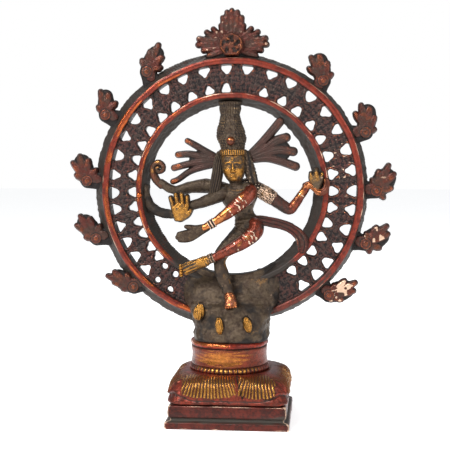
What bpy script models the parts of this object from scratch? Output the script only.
"""Brass statue of the dancing Nataraja in his ring of fire, on a lotus pedestal.

The statue is cast in pieces that are brazed together: a hollow pedestal, a pierced ring with ten
flames and a crest, and the four-armed dancer, who touches the ring at his crown, hands and sash.
Lengths below are millimetres; MM turns them into Blender's metres. The origin is the middle of the
footprint, +Z is up and the dancer faces -Y.
"""

import math

import bmesh
import bpy
import numpy as np

MM = 0.001
GAP = 0.3  # brazing gap left between neighbouring castings
SIDES = 9  # sides of a limb's section

# Pedestal
PLINTH_HALF = 29.35
PLINTH_TOP = 11.0
PLINTH_WALL = 3.0
CUSHION_TOP = 23.4
DRUM_RADIUS = 18.7
DRUM_BOTTOM = 26.6
DRUM_TOP = 35.2
DRUM_X = -1.0  # the drum stands a little off the plinth's middle
MOUND_BOTTOM = 38.6
BORE = 2.6
STUD_RADIUS = 2.0

# Ring of fire
RING_Z = 111.0
RING_FRONT = -1.0
RING_BACK = 8.0
RING_END = 163.0
OPENING_RADIUS = 40.9
INNER_RIM_OUT = 47.2
BAND_IN = 47.5
BAND_OUT = 60.5
OUTER_RIM_IN = 60.8
OUTER_RIM_OUT = 66.2
BAND_FRONT = 1.5
BAND_BACK = 6.5

# Flames and crest
FLAME_FIRST = {"left": 36.2, "right": 39.4}
FLAME_PITCH = 24.6
FLAME_COUNT = 5
FLAME_BOSS_R = 72.4
FLAME_LEANS = (57.0, 60.0, 60.0, 66.0, 72.0)
CREST_Z = 181.0

# Finishes: colour, roughness, metallic
PATINA = ((0.075, 0.058, 0.045), 0.55, 0.7)
LACQUER = ((0.30, 0.055, 0.028), 0.38, 0.75)
LATTICE = ((0.13, 0.06, 0.045), 0.6, 0.6)
GILT = ((0.62, 0.36, 0.13), 0.35, 0.9)
COPPER = ((0.45, 0.17, 0.08), 0.35, 0.85)
STEEL = ((0.4, 0.39, 0.37), 0.4, 1.0)


def clear_scene():
    for old in list(bpy.data.objects):
        bpy.data.objects.remove(old)


def finish(name, look):
    """Principled material of one casting."""
    colour, roughness, metallic = look
    material = bpy.data.materials.new(name + "_finish")
    material.use_nodes = True
    shader = material.node_tree.nodes["Principled BSDF"]
    shader.inputs["Base Color"].default_value = (*colour, 1.0)
    shader.inputs["Roughness"].default_value = roughness
    shader.inputs["Metallic"].default_value = metallic
    return material


def solid(name, rings, look, closed=False):
    """Skin equal-length rings of points; the ends are closed by a fan unless the rings form a loop."""
    rings = [[tuple(c * MM for c in point) for point in ring] for ring in rings]
    bm = bmesh.new()
    rows = [[bm.verts.new(point) for point in ring] for ring in rings]
    pairs = list(zip(rows, rows[1:]))
    if closed:
        pairs.append((rows[-1], rows[0]))
    for low, high in pairs:
        for i in range(len(low)):
            j = (i + 1) % len(low)
            bm.faces.new((low[i], low[j], high[j], high[i]))
    if not closed:
        for row in (rows[0], rows[-1]):
            middle = sum((v.co for v in row), row[0].co * 0) / len(row)
            pole = bm.verts.new(middle)
            for i in range(len(row)):
                bm.faces.new((row[i], row[(i + 1) % len(row)], pole))
    bmesh.ops.recalc_face_normals(bm, faces=bm.faces)
    mesh = bpy.data.meshes.new(name)
    bm.to_mesh(mesh)
    bm.free()
    mesh.shade_smooth()
    mesh.set_sharp_from_angle(angle=math.radians(40))
    mesh.materials.append(finish(name, look))
    body = bpy.data.objects.new(name, mesh)
    bpy.context.scene.collection.objects.link(body)
    return body


def boolean(body, cutter, operation):
    """Live Boolean with a hidden cutter."""
    cutter.hide_render = True
    cutter.display_type = "WIRE"
    modifier = body.modifiers.new(operation.lower() + "_" + cutter.name, "BOOLEAN")
    modifier.operation = operation
    modifier.solver = "EXACT"
    modifier.object = cutter


def fuse(body, *others):
    for other in others:
        boolean(body, other, "UNION")
    return body


def settle(body):
    """Apply a body's Booleans to its mesh."""
    bpy.context.view_layer.update()
    evaluated = body.evaluated_get(bpy.context.evaluated_depsgraph_get())
    body.data = bpy.data.meshes.new_from_object(evaluated)
    body.modifiers.clear()
    return body


def swollen(mesh, name):
    """Copy of a casting, grown along its normals by a little over the brazing gap."""
    bm = bmesh.new()
    bm.from_mesh(mesh)
    bm.normal_update()
    shifts = [vert.normal * (1.25 * GAP * MM) for vert in bm.verts]
    for vert, shift in zip(bm.verts, shifts):
        vert.co += shift
    grown = bpy.data.meshes.new(name)
    bm.to_mesh(grown)
    bm.free()
    cutter = bpy.data.objects.new(name, grown)
    bpy.context.scene.collection.objects.link(cutter)
    return cutter


def seat(body, *neighbours):
    """Cut a body back from the castings that it is brazed to, and from what is fused to them."""
    for neighbour in neighbours:
        unions = [m.object for m in neighbour.modifiers if m.operation == "UNION"]
        for piece in (neighbour, *unions):
            boolean(body, swollen(piece.data, f"{body.name}_seat_{piece.name}"), "DIFFERENCE")
    return body


def smooth_path(stations, steps=3):
    """Catmull-Rom curve through rows of (x, y, z, half width, half depth)."""
    rows = np.array(stations, dtype=float)
    padded = np.vstack([2 * rows[0] - rows[1], rows, 2 * rows[-1] - rows[-2]])
    points = []
    for i in range(len(rows) - 1):
        a, b, c, d = padded[i : i + 4]
        for k in range(steps):
            t = k / steps
            curve = 2 * b + (c - a) * t + (2 * a - 5 * b + 4 * c - d) * t**2
            points.append(0.5 * (curve + (3 * b - a - 3 * c + d) * t**3))
    points.append(rows[-1])
    return np.array(points)


def limb(name, stations, look, steps=3, sides=SIDES, blunt=False):
    """Sweep an ellipse along a smooth path; half depth is measured towards the viewer.

    Unless blunt, each end is rounded off by two rings of a quarter ellipse.
    """
    path = smooth_path(stations, steps)
    centres, half_width, half_depth = path[:, :3], path[:, 3], path[:, 4]
    tangents = np.gradient(centres, axis=0)
    tangents /= np.linalg.norm(tangents, axis=1)[:, None]
    across = np.cross(tangents, (0.0, 1.0, 0.0))
    across /= np.linalg.norm(across, axis=1)[:, None]
    front = np.cross(across, tangents)
    angles = 2 * math.pi * np.arange(sides) / sides

    def section(i, push, shrink):
        middle = centres[i] + push * tangents[i]
        wide = shrink * half_width[i] * across[i]
        deep = shrink * half_depth[i] * front[i]
        return [middle + math.cos(a) * wide + math.sin(a) * deep for a in angles]

    rings = [section(i, 0.0, 1.0) for i in range(len(path))]
    if not blunt:
        last = len(path) - 1
        for index, sign in ((0, -1.0), (last, 1.0)):
            reach = min(half_width[index], half_depth[index])
            caps = [
                section(index, sign * reach * math.sin(turn), math.cos(turn))
                for turn in (math.radians(40), math.radians(72))
            ]
            rings = caps[::-1] + rings if sign < 0 else rings + caps
    return solid(name, rings, look)


def rounded_square(half, corner, z, steps=4):
    """Square loop with round corners; a corner as large as half makes it a circle."""
    loop = []
    for quarter in range(4):
        for k in range(steps + 1):
            turn = math.radians(90 * quarter + 90 * k / steps)
            sx = 1 if quarter in (0, 3) else -1
            sy = 1 if quarter in (0, 1) else -1
            reach = half - corner
            loop.append((sx * reach + corner * math.cos(turn), sy * reach + corner * math.sin(turn), z))
    return [(x + 1e-5 * i, y, z) for i, (x, y, z) in enumerate(loop)] if corner == half else loop


def turned(name, profile, look, segments=32, middle=0.0):
    """Closed (radius, z) profile turned about an upright axis at x = middle."""
    rings = [
        [
            (middle + r * math.cos(turn), r * math.sin(turn), z)
            for turn in (2 * math.pi * k / segments for k in range(segments))
        ]
        for r, z in profile
    ]
    return solid(name, rings, look, closed=True)


def ring_point(degrees, radius, y):
    """Point of the ring, with the angle counted clockwise from the crest as the viewer sees it."""
    turn = math.radians(degrees)
    return (radius * math.sin(turn), y, RING_Z + radius * math.cos(turn))


def ring_bar(name, profile, look, segments=54):
    """Sweep a closed (radius, y) profile along the ring from one foot to the other."""
    sweep = np.linspace(-RING_END, RING_END, segments + 1)
    return solid(name, [[ring_point(a, r, y) for r, y in profile] for a in sweep], look)


def lobed_radius(degrees, lobes, core):
    """Outline of a leaf cluster: the farthest of its round-tipped lobes, or its core."""
    best = core
    for direction, length, half_width in lobes:
        off = abs((degrees - direction + 180) % 360 - 180) / half_width
        if off < 1:
            best = max(best, core + (length - core) * math.sqrt(1 - off**2))
    return best


def lobed_plate(name, middle, tilt, lobes, core, layers, look, samples=48):
    """Star-shaped leaf cluster round a middle point; layers are (scale, y) from front to back.

    Lobe directions are degrees from the tilt, which is clockwise from +Z as the viewer sees it.
    """
    rings = []
    for scale, y in layers:
        ring = []
        for k in range(samples):
            degrees = 360 * k / samples
            radius = scale * lobed_radius(degrees, lobes, core)
            turn = math.radians(degrees + tilt)
            ring.append((middle[0] + radius * math.sin(turn), y, middle[1] + radius * math.cos(turn)))
        rings.append(ring)
    return solid(name, rings, look)


def bead(name, middle, half, look, tilt=0.0, rings=6, sides=12):
    """Ellipsoid with half sizes (x, y, z), tilted clockwise in the viewer's plane."""
    turn = math.radians(tilt)
    rows = []
    for k in range(1, rings):
        polar = math.pi * k / rings
        row = []
        for s in range(sides):
            a = 2 * math.pi * s / sides
            x = half[0] * math.sin(polar) * math.cos(a)
            y = half[1] * math.sin(polar) * math.sin(a)
            z = half[2] * math.cos(polar)
            row.append(
                (
                    middle[0] + x * math.cos(turn) + z * math.sin(turn),
                    middle[1] + y,
                    middle[2] - x * math.sin(turn) + z * math.cos(turn),
                )
            )
        rows.append(row)
    return solid(name, rows, look)


# Pedestal


def make_plinth():
    """Two slabs with a cove between them, hollow and open below, with a hole for the stud."""
    half = PLINTH_HALF
    levels = [
        (half, 1.5, 0.0),
        (half, 1.5, 3.1),
        (half - 2.6, 1.3, 3.6),
        (half - 2.6, 1.3, 4.8),
        (half - 1.6, 1.5, 5.3),
        (half - 1.6, 1.5, PLINTH_TOP - 0.6),
        (half - 2.3, 1.5, PLINTH_TOP),
        (BORE, BORE, PLINTH_TOP),
        (BORE, BORE, PLINTH_TOP - PLINTH_WALL),
        (half - 6.0, 1.5, PLINTH_TOP - PLINTH_WALL),
        (half - 5.2, 1.5, 0.0),
    ]
    return solid("plinth", [rounded_square(*level) for level in levels], LACQUER, closed=True)


def make_lotus_cushion():
    """Plump rounded square with a rolled lip, bored through for the stud."""
    bottom = PLINTH_TOP + GAP
    levels = [
        (27.0, 8.0, bottom),
        (29.0, 10.0, bottom + 1.0),
        (28.9, 11.0, bottom + 2.6),
        (27.8, 11.5, bottom + 3.6),
        (28.7, 13.0, bottom + 6.0),
        (28.2, 15.0, bottom + 9.5),
        (25.6, 16.0, bottom + 12.4),
        (22.4, 18.0, CUSHION_TOP + 1.0),
        (20.2, 20.2, CUSHION_TOP),
        (BORE, BORE, CUSHION_TOP),
        (BORE, BORE, bottom),
    ]
    return solid("lotus_cushion", [rounded_square(*level) for level in levels], LACQUER, closed=True)


def half_round(inner, outer, low, high):
    """Profile of a bead: flat inside, round outside."""
    middle, reach = (low + high) / 2, (high - low) / 2
    bulge = min(reach, outer - inner)
    arc = [
        (outer - bulge + bulge * math.cos(t), middle + reach * math.sin(t))
        for t in (math.radians(a) for a in (70, 25, -25, -70))
    ]
    return [(inner, high - 0.1), *arc, (inner, low + 0.1)]


def make_drum():
    """Collar between two beads."""
    foot = half_round(14.0, 19.6, CUSHION_TOP + GAP, DRUM_BOTTOM - GAP)
    turned("drum_foot_bead", foot, GILT, middle=DRUM_X)
    r = DRUM_RADIUS
    collar = [
        (r, DRUM_TOP),
        (r, DRUM_TOP - 1.0),
        (r - 0.4, (DRUM_TOP + DRUM_BOTTOM) / 2),
        (r, DRUM_BOTTOM + 1.0),
        (r, DRUM_BOTTOM),
        (14.0, DRUM_BOTTOM),
        (14.0, DRUM_TOP),
    ]
    turned("drum", collar, LACQUER, middle=DRUM_X)
    top = half_round(14.0, 19.2, DRUM_TOP + GAP, MOUND_BOTTOM - GAP)
    turned("drum_top_bead", top, LACQUER, middle=DRUM_X)


def make_fixing():
    """Stud, washer and nut that draw the mound down on the pedestal."""
    under = PLINTH_TOP - PLINTH_WALL
    angles = [2 * math.pi * k / 16 for k in range(16)]
    rings = [
        [(STUD_RADIUS * math.cos(a), STUD_RADIUS * math.sin(a), z) for a in angles]
        for z in (under - 5.2, 49.0)
    ]
    solid("mount_stud", rings, STEEL)
    hole = STUD_RADIUS + GAP
    washer = [(6.0, under - GAP), (6.0, under - 1.1), (hole, under - 1.1), (hole, under - GAP)]
    turned("mount_washer", washer, STEEL, segments=20)
    hole /= math.cos(math.pi / 6)
    nut = [(3.9, under - 1.4), (3.9, under - 4.6), (hole, under - 4.6), (hole, under - 1.4)]
    turned("mount_nut", nut, STEEL, segments=6)


def make_mound():
    """Rough rock on the collar, hollowed at the top to the curve of the ring's opening."""
    levels = [
        (MOUND_BOTTOM, 17.9, 17.0, 0.0),
        (40.2, 18.6, 17.4, 0.0),
        (44.0, 18.4, 16.4, 0.3),
        (49.0, 19.6, 15.0, 0.8),
        (53.4, 21.8, 13.6, 1.4),
        (54.6, 22.4, 13.0, 1.8),
        (56.0, 22.8, 10.4, 2.6),
        (60.0, 23.2, 9.4, 3.2),
        (65.0, 21.8, 8.4, 3.4),
        (69.0, 19.6, 7.6, 3.5),
        (72.0, 17.2, 6.6, 3.5),
    ]
    angles = [2 * math.pi * k / 24 for k in range(24)]
    rings = []
    for row, (z, half_x, half_y, middle_y) in enumerate(levels):
        ring = []
        for k, a in enumerate(angles):
            rough = 1.0 + 0.018 * math.sin(3 * a + 1.3 * row) + 0.012 * math.sin(7 * a - 0.9 * row)
            ring.append((rough * half_x * math.cos(a), middle_y + rough * half_y * math.sin(a), z))
        rings.append(ring)
    mound = solid("rock_mound", rings, PATINA)
    bore = [ring_row(43.6, y) for y in (-20.0, 20.0)]
    boolean(mound, solid("mound_hollow", bore, PATINA), "DIFFERENCE")
    socket = [
        [((STUD_RADIUS + GAP) * math.cos(a), (STUD_RADIUS + GAP) * math.sin(a), z) for a in angles[::2]]
        for z in (MOUND_BOTTOM - 3, 50.0)
    ]
    boolean(mound, solid("stud_socket", socket, PATINA), "DIFFERENCE")
    return settle(mound)


def ring_row(radius, y, count=54):
    """Full circle about the ring's centre."""
    return [ring_point(360 * k / count, radius, y) for k in range(count)]


def make_mound_bosses(mound):
    """Three rubbed bosses that stand out of the mound's face."""
    places = (
        ("mound_boss_left", (-14.8, -9.6, 52.8), (2.9, 3.0, 4.7), 12.0),
        ("mound_boss_middle", (-4.1, -14.8, 46.4), (2.1, 3.2, 5.2), -8.0),
        ("mound_boss_right", (9.1, -13.6, 47.2), (2.4, 3.2, 4.9), -14.0),
    )
    for name, middle, half, tilt in places:
        seat(bead(name, middle, half, GILT, tilt), mound)


# Ring of fire


def make_rims(mound):
    """Outer and inner bars of the ring; their side walls splay towards the back."""
    front, back = RING_FRONT, RING_BACK
    inside, outside = OUTER_RIM_IN, OUTER_RIM_OUT
    outer = [
        (inside, front + 0.8),
        (inside + 0.7, front),
        (outside - 2.7, front),
        (outside - 1.8, front + 0.7),
        (outside, back - 1.0),
        (outside - 0.6, back),
        (inside, back),
    ]
    inside, outside = OPENING_RADIUS, INNER_RIM_OUT
    inner = [
        (outside, front + 0.8),
        (outside - 0.6, front),
        (inside + 3.9, front),
        (inside + 3.1, front + 0.8),
        (inside, back - 1.8),
        (inside + 0.5, back),
        (outside, back),
    ]
    outer_rim = seat(ring_bar("outer_rim", outer, LACQUER), mound)
    inner_rim = seat(ring_bar("inner_rim", inner, LACQUER), mound)
    return outer_rim, inner_rim


def hole_angles():
    """Angles of the pierced pairs: the pitch widens towards the crest, as if spaced by eye."""

    def pitch(angle):
        turn = math.radians(angle)
        return 9.2 + 1.5 * math.cos(turn) + 0.4 * math.sin(turn)

    first = -3.0
    angles = [first]
    while angles[-1] < 143:
        angles.append(angles[-1] + pitch(angles[-1] + 4.5))
    angle = first
    while angle > -146:
        angle -= pitch(angle - 4.5)
        angles.append(angle)
    return sorted(angles)


def make_lattice(mound):
    """Flat band pierced by pairs of triangles that point at each other."""
    y0, y1 = BAND_FRONT, BAND_BACK
    profile = [(BAND_IN, y0), (BAND_OUT, y0), (BAND_OUT, y1), (BAND_IN, y1)]
    band = ring_bar("lattice_band", profile, LATTICE)
    triangles = (
        ((3.2, 59.7), (-3.2, 59.7), (0.0, 54.0)),
        ((3.3, 48.3), (-3.3, 48.3), (0.0, 53.2)),
    )
    bm = bmesh.new()
    for angle in hole_angles():
        for outline in triangles:
            loops = [
                [bm.verts.new([c * MM for c in ring_point(angle + a, r, y)]) for a, r in outline]
                for y in (y0 - 2, y1 + 2)
            ]
            count = len(outline)
            for i in range(count):
                j = (i + 1) % count
                bm.faces.new((loops[0][i], loops[0][j], loops[1][j], loops[1][i]))
            bm.faces.new(loops[0])
            bm.faces.new(loops[1])
    bmesh.ops.recalc_face_normals(bm, faces=bm.faces)
    mesh = bpy.data.meshes.new("lattice_holes")
    bm.to_mesh(mesh)
    bm.free()
    holes = bpy.data.objects.new("lattice_holes", mesh)
    bpy.context.scene.collection.objects.link(holes)
    boolean(band, holes, "DIFFERENCE")
    return seat(band, mound)


def make_flames(outer_rim):
    """Ten palmettes on the outer rim, leaning towards the crest, each with a boss at its root."""
    leaf = (
        (0, 15.4, 19),
        (-24, 11.8, 17),
        (24, 13.6, 17),
        (-50, 7.0, 18),
        (48, 9.8, 18),
        (122, 9.2, 60),
    )
    layers = ((0.6, 0.4), (1.0, 2.4), (1.0, 5.0), (0.8, 6.2))
    for side, hand in (("left", -1), ("right", 1)):
        for i in range(FLAME_COUNT):
            angle = hand * (FLAME_FIRST[side] + FLAME_PITCH * i)
            x, _, z = ring_point(angle, FLAME_BOSS_R, 0)
            name = f"flame_{side}_{i + 1}"
            lobes = [(-hand * d, length, width) for d, length, width in leaf]
            tilt = angle - hand * FLAME_LEANS[i]
            flame = lobed_plate(name, (x, z), tilt, lobes, 4.6, layers, PATINA, samples=29)
            boss = bead(name + "_boss", (x, -0.1, z), (3.2, 2.2, 3.2), COPPER, rings=4, sides=8)
            seat(fuse(flame, boss), outer_rim)


def make_crest(outer_rim):
    """Seven-lobed fan on top of the ring with a round rosette on its face."""
    lobes = (
        (0, 19.0, 30),
        (-60, 15.4, 20),
        (60, 15.4, 20),
        (-88, 18.4, 15),
        (88, 18.2, 15),
        (-112, 14.4, 17),
        (112, 14.4, 17),
        (-150, 9.6, 32),
        (150, 9.6, 32),
        (180, 8.4, 40),
    )
    layers = ((0.6, 0.4), (1.0, 2.4), (1.0, 5.2), (0.8, 6.4))
    fan = lobed_plate("crest_fan", (0, CREST_Z), 0, lobes, 9.0, layers, PATINA, samples=60)
    seat(fan, outer_rim)
    petals = [(45 * k, 5.9, 24) for k in range(8)]
    disc = ((0.6, -4.6), (1.0, -3.2), (1.0, 2.0))
    rosette = lobed_plate("crest_rosette", (0, CREST_Z), 22.5, petals, 5.2, disc, COPPER, samples=32)
    seat(rosette, fan, outer_rim)


# Dancer


def make_torso():
    """Chest, waist and hips."""
    stations = (
        (2.3, 0.5, 114.1, 5.4, 3.6),
        (2.7, 0.4, 112.3, 9.0, 4.6),
        (3.7, 0.0, 108.3, 9.6, 5.6),
        (4.7, 0.0, 103.1, 7.2, 5.0),
        (6.1, 0.0, 98.6, 5.0, 4.4),
        (7.5, 0.0, 94.5, 7.0, 5.2),
        (8.1, 0.0, 91.3, 6.2, 4.8),
    )
    return limb("torso", stations, PATINA, steps=1, sides=14)


def make_head(torso, inner_rim):
    """Head with its neck, the tall crown up to the ring, the band and jewel on it, and the hair."""
    skull = (
        (2.1, -1.4, 113.5, 2.6, 2.6),
        (1.7, -2.6, 116.1, 3.8, 4.2),
        (1.4, -2.8, 119.5, 5.2, 5.4),
        (1.2, -2.4, 123.5, 5.8, 6.0),
        (0.9, -1.8, 127.3, 5.9, 5.8),
        (0.7, -1.0, 129.7, 5.2, 4.8),
    )
    head = seat(limb("head", skull, GILT, steps=1, sides=14), torso)
    tower = (
        (0.7, -1.2, 129.5, 4.8, 4.4),
        (0.5, -0.4, 132.3, 5.9, 5.2),
        (0.3, 0.2, 136.5, 7.3, 5.8),
        (0.3, 1.0, 141.1, 6.3, 5.0),
        (0.3, 1.8, 146.1, 4.5, 4.0),
        (0.3, 2.6, 151.3, 5.6, 3.8),
        (0.3, 2.8, 153.3, 6.0, 3.6),
    )
    crown = seat(limb("crown", tower, PATINA, steps=1, sides=14), head, inner_rim)
    band = (
        (0.85, -1.5, 128.0, 6.9, 6.9),
        (0.8, -1.3, 130.2, 6.7, 6.6),
    )
    seat(limb("diadem", band, GILT, steps=1, sides=20, blunt=True), head, crown)
    seat(bead("crown_jewel", (0.0, -6.2, 134.4), (2.1, 2.2, 2.3), COPPER), crown)
    return head, crown


def make_hair(head, crown, torso, inner_rim):
    """Two fans of flying locks, and a lock that hangs down on each side of the face."""
    fans = (
        (
            "hair_fan_left",
            (-4.8, 0.6, 124.0),
            (
                ((-13.8, 128.2), (-21.4, 134.0)),
                ((-15.4, 126.0), (-26.0, 127.8)),
                ((-16.8, 123.6), (-28.4, 121.6)),
                ((-17.2, 121.0), (-24.4, 117.0), (-28.8, 114.8)),
            ),
        ),
        (
            "hair_fan_right",
            (7.0, 0.6, 124.8),
            (
                ((15.4, 133.2), (25.0, 145.6)),
                ((18.0, 131.2), (26.8, 136.2)),
                ((18.8, 128.6), (30.6, 129.2)),
                ((18.6, 125.8), (32.4, 122.2)),
            ),
        ),
    )
    for name, root, locks in fans:
        strands = []
        for number, points in enumerate(locks):
            stations = [(root[0], root[1], root[2] + 0.6 * (1.5 - number), 1.5, 1.5)]
            for order, (x, z) in enumerate(points):
                width = 2.1 if order < len(points) - 1 else 2.2
                stations.append((x, 0.6 + 0.4 * number, z, width, 1.7))
            label = name if number == 0 else f"{name}_lock_{number}"
            strands.append(limb(label, stations, PATINA, steps=2, sides=6))
        seat(fuse(*strands), head, crown, bpy.data.objects["diadem"], inner_rim)
    left = (
        (-5.5, -1.2, 128.3, 1.6, 2.0),
        (-6.9, -1.6, 123.7, 2.0, 2.4),
        (-7.1, -2.2, 117.7, 2.4, 2.6),
        (-8.1, -3.0, 111.5, 2.4, 2.4),
        (-8.3, -3.2, 107.7, 1.5, 1.6),
    )
    right = (
        (7.1, -1.2, 128.5, 1.6, 2.0),
        (8.1, -1.8, 123.7, 2.2, 2.4),
        (9.5, -2.2, 118.7, 2.5, 2.6),
        (10.9, -2.4, 115.1, 2.0, 2.0),
    )
    locks = []
    for name, stations in (("side_lock_left", left), ("side_lock_right", right)):
        lock = limb(name, stations, PATINA, steps=1, sides=8)
        fan = bpy.data.objects["hair_fan" + name[9:]]
        locks.append(seat(lock, head, crown, bpy.data.objects["diadem"], torso, fan))
    return locks


def make_arms(torso, inner_rim, locks):
    """Two rear arms out to the ring, the raised blessing arm and the arm across the chest."""
    serpent_path = (
        (-36.1, 2.0, 114.5, 1.8, 1.8),
        (-38.7, 2.0, 117.5, 1.8, 1.8),
        (-38.9, 1.8, 121.5, 1.6, 1.6),
        (-36.3, 1.4, 124.5, 1.5, 1.6),
        (-33.3, 1.0, 122.9, 1.5, 1.6),
        (-34.3, 0.6, 120.5, 1.5, 1.6),
    )
    drum_path = (
        (-5.5, 2.4, 111.3, 3.8, 3.4),
        (-13.5, 2.6, 112.5, 3.6, 3.2),
        (-21.5, 2.4, 111.5, 3.2, 3.0),
        (-27.9, 2.2, 110.1, 2.5, 2.4),
        (-32.5, 2.0, 111.7, 2.2, 2.1),
        (-35.1, 2.0, 113.7, 2.0, 2.0),
    )
    flame_path = (
        (8.5, 1.8, 113.5, 3.2, 3.2),
        (18.1, 1.8, 107.7, 3.3, 3.2),
        (27.5, 1.6, 101.3, 3.0, 2.8),
        (29.3, 1.5, 101.5, 2.8, 2.6),
        (33.7, 1.3, 108.1, 2.1, 2.1),
        (36.9, 1.2, 113.1, 1.9, 1.9),
    )
    blessing_path = (
        (-5.7, -2.6, 108.3, 3.4, 3.2),
        (-11.9, -4.4, 105.7, 3.0, 2.8),
        (-19.1, -6.0, 103.5, 2.4, 2.2),
    )
    crossing_path = (
        (10.3, -5.4, 110.5, 3.2, 3.0),
        (4.9, -8.4, 105.1, 3.5, 3.1),
        (-3.1, -9.8, 98.5, 2.5, 2.4),
        (-12.1, -10.4, 92.9, 1.6, 1.8),
    )
    lock_left, lock_right = locks
    drum_arm = seat(limb("drum_arm", drum_path, PATINA, steps=1), torso, lock_left)
    flame_arm = seat(limb("flame_arm", flame_path, LACQUER, steps=1), torso, lock_right)
    blessing_arm = limb("blessing_arm", blessing_path, PATINA, steps=2)
    seat(blessing_arm, torso, drum_arm, lock_left)
    crossing_arm = seat(limb("crossing_arm", crossing_path, LACQUER, steps=2), torso)
    serpent = limb("serpent", serpent_path, COPPER, steps=2, sides=7)
    seat(serpent, drum_arm, inner_rim)
    return drum_arm, flame_arm, blessing_arm, crossing_arm


def make_hands(inner_rim, arms):
    """Open palm, hanging hand, cupped hand with its flame, and the bar that ties the palm to the ring."""
    drum_arm, flame_arm, blessing_arm, crossing_arm = arms
    palm_lobes = ((-30, 7.4, 16), (-10, 8.2, 14), (10, 7.8, 14), (30, 6.6, 15), (168, 7.6, 40), (-80, 5.6, 24))
    palm_layers = ((0.4, -11.6), (0.85, -11.2), (1.0, -9.8), (1.0, -8.2), (0.85, -7.0), (0.4, -6.6))
    palm = lobed_plate("blessing_palm", (-24.6, 103.0), -10, palm_lobes, 5.2, palm_layers, GILT, samples=36)
    seat(palm, blessing_arm, drum_arm)
    strut = (
        (-22.5, -3.6, 99.7, 2.6, 2.4),
        (-29.5, 0.0, 99.1, 2.2, 2.0),
        (-36.1, 2.0, 99.9, 2.4, 2.0),
        (-41.7, 3.0, 103.5, 2.6, 2.0),
    )
    seat(limb("palm_strut", strut, PATINA, steps=2, sides=8), palm, inner_rim)

    hanging = (
        (-12.5, -10.6, 92.5, 1.9, 1.9),
        (-16.9, -10.8, 90.9, 2.9, 2.2),
        (-21.1, -10.8, 88.7, 3.2, 2.2),
        (-24.5, -10.6, 88.3, 1.9, 1.6),
    )
    thumb = (
        (-14.3, -10.6, 92.5, 1.4, 1.4),
        (-18.5, -10.8, 93.1, 1.2, 1.4),
        (-21.9, -10.8, 92.3, 1.0, 1.2),
    )
    hand = limb("crossing_hand", hanging, PATINA, steps=2, sides=10)
    seat(fuse(hand, limb("crossing_thumb", thumb, PATINA, steps=2, sides=8)), crossing_arm)

    cupped = (
        (36.3, 0.6, 113.7, 1.8, 1.9),
        (39.1, -0.4, 112.7, 1.7, 2.0),
        (42.3, -1.4, 110.3, 1.7, 2.0),
        (45.3, -1.8, 110.5, 1.6, 1.8),
        (46.9, -1.8, 113.9, 1.5, 1.6),
    )
    hand = seat(limb("flame_hand", cupped, COPPER, steps=2, sides=8), flame_arm, inner_rim)
    fire = ((-24, 6.2, 22), (4, 7.0, 22), (34, 6.0, 22), (180, 4.4, 60))
    layers = ((0.4, -3.6), (0.85, -3.2), (1.0, -1.8), (1.0, -0.2), (0.8, 1.2))
    flame = lobed_plate("palm_flame", (41.2, 116.6), 0, fire, 3.6, layers, COPPER, samples=32)
    seat(flame, hand, flame_arm, inner_rim)


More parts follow.
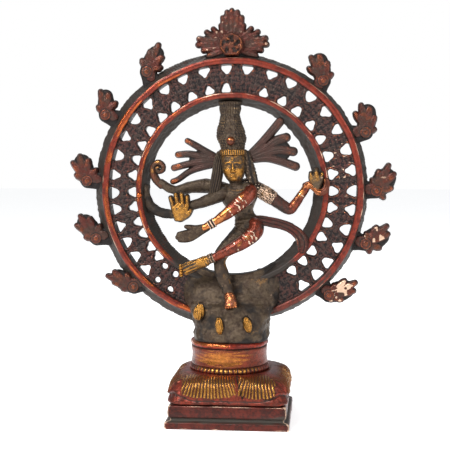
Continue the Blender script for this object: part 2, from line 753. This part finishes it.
def make_legs(torso, mound, inner_rim, lattice):
    """Leg that stands on the mound and leg swung across it, with their feet."""
    standing = (
        (6.9, -1.2, 91.7, 4.4, 4.0),
        (1.1, -2.8, 86.5, 4.0, 3.6),
        (-3.9, -4.4, 80.5, 3.2, 3.0),
        (-5.5, -6.0, 74.5, 2.9, 2.7),
        (-2.9, -8.2, 67.1, 2.9, 2.6),
        (-0.5, -9.8, 60.9, 2.6, 2.4),
    )
    raised = (
        (11.9, -3.0, 94.1, 4.2, 4.0),
        (10.7, -6.4, 90.7, 4.2, 3.6),
        (3.3, -9.2, 84.3, 3.2, 3.0),
        (-4.1, -9.6, 80.3, 2.2, 2.2),
        (-10.9, -9.2, 77.5, 1.9, 1.9),
    )
    toes_down = (
        (-0.5, -10.2, 60.7, 2.7, 2.6),
        (0.3, -11.8, 57.7, 3.0, 2.6),
        (0.7, -13.4, 55.7, 3.2, 1.5),
    )
    toes_out = (
        (-11.1, -9.2, 77.3, 2.1, 2.1),
        (-16.1, -8.6, 75.5, 2.9, 2.5),
        (-20.9, -7.4, 73.5, 3.3, 2.4),
        (-23.9, -6.6, 72.1, 2.4, 1.9),
    )
    standing_leg = seat(limb("standing_leg", standing, PATINA, steps=2), torso, mound)
    raised_leg = seat(limb("raised_leg", raised, LACQUER, steps=2), torso, standing_leg)
    seat(limb("standing_foot", toes_down, COPPER, steps=2), standing_leg, mound)
    seat(limb("raised_foot", toes_out, GILT, steps=2), raised_leg, inner_rim, lattice)
    return standing_leg, raised_leg


def make_sash(torso, raised_leg, inner_rim):
    """Flying end of the waist cloth, which hangs over the ring."""
    path = (
        (11.1, -0.6, 95.7, 2.6, 1.8),
        (17.9, 0.4, 95.5, 2.5, 1.7),
        (25.1, 0.6, 93.5, 2.5, 1.7),
        (31.5, 0.2, 90.7, 2.6, 1.7),
        (35.1, -0.8, 85.9, 2.9, 1.8),
        (34.9, -1.4, 81.5, 2.3, 1.6),
    )
    seat(limb("sash", path, PATINA, steps=2, sides=10), torso, raised_leg, inner_rim)


def make_bands(arms, raised_leg):
    """Worn bands pressed on the upper arm, the wrist and the ankle."""
    _, flame_arm, _, crossing_arm = arms
    bands = (
        ("armlet", flame_arm, ((15.9, 1.8, 109.0, 4.1, 4.0), (20.1, 1.8, 106.3, 4.1, 4.0))),
        ("bracelet", crossing_arm, ((-7.7, -10.1, 95.4, 2.8, 3.0), (-9.7, -10.2, 94.2, 2.7, 2.9))),
        ("anklet", raised_leg, ((-8.3, -9.4, 78.5, 2.8, 2.8), (-10.1, -9.3, 77.8, 2.7, 2.7))),
    )
    for name, wearer, stations in bands:
        seat(limb(name, stations, COPPER, steps=1, sides=10, blunt=True), wearer)


def build():
    clear_scene()
    make_plinth()
    make_lotus_cushion()
    make_drum()
    make_fixing()
    mound = make_mound()
    make_mound_bosses(mound)
    outer_rim, inner_rim = make_rims(mound)
    lattice = make_lattice(mound)
    make_flames(outer_rim)
    make_crest(outer_rim)
    torso = make_torso()
    head, crown = make_head(torso, inner_rim)
    locks = make_hair(head, crown, torso, inner_rim)
    arms = make_arms(torso, inner_rim, locks)
    make_hands(inner_rim, arms)
    _, raised_leg = make_legs(torso, mound, inner_rim, lattice)
    make_sash(torso, raised_leg, inner_rim)
    make_bands(arms, raised_leg)


build()
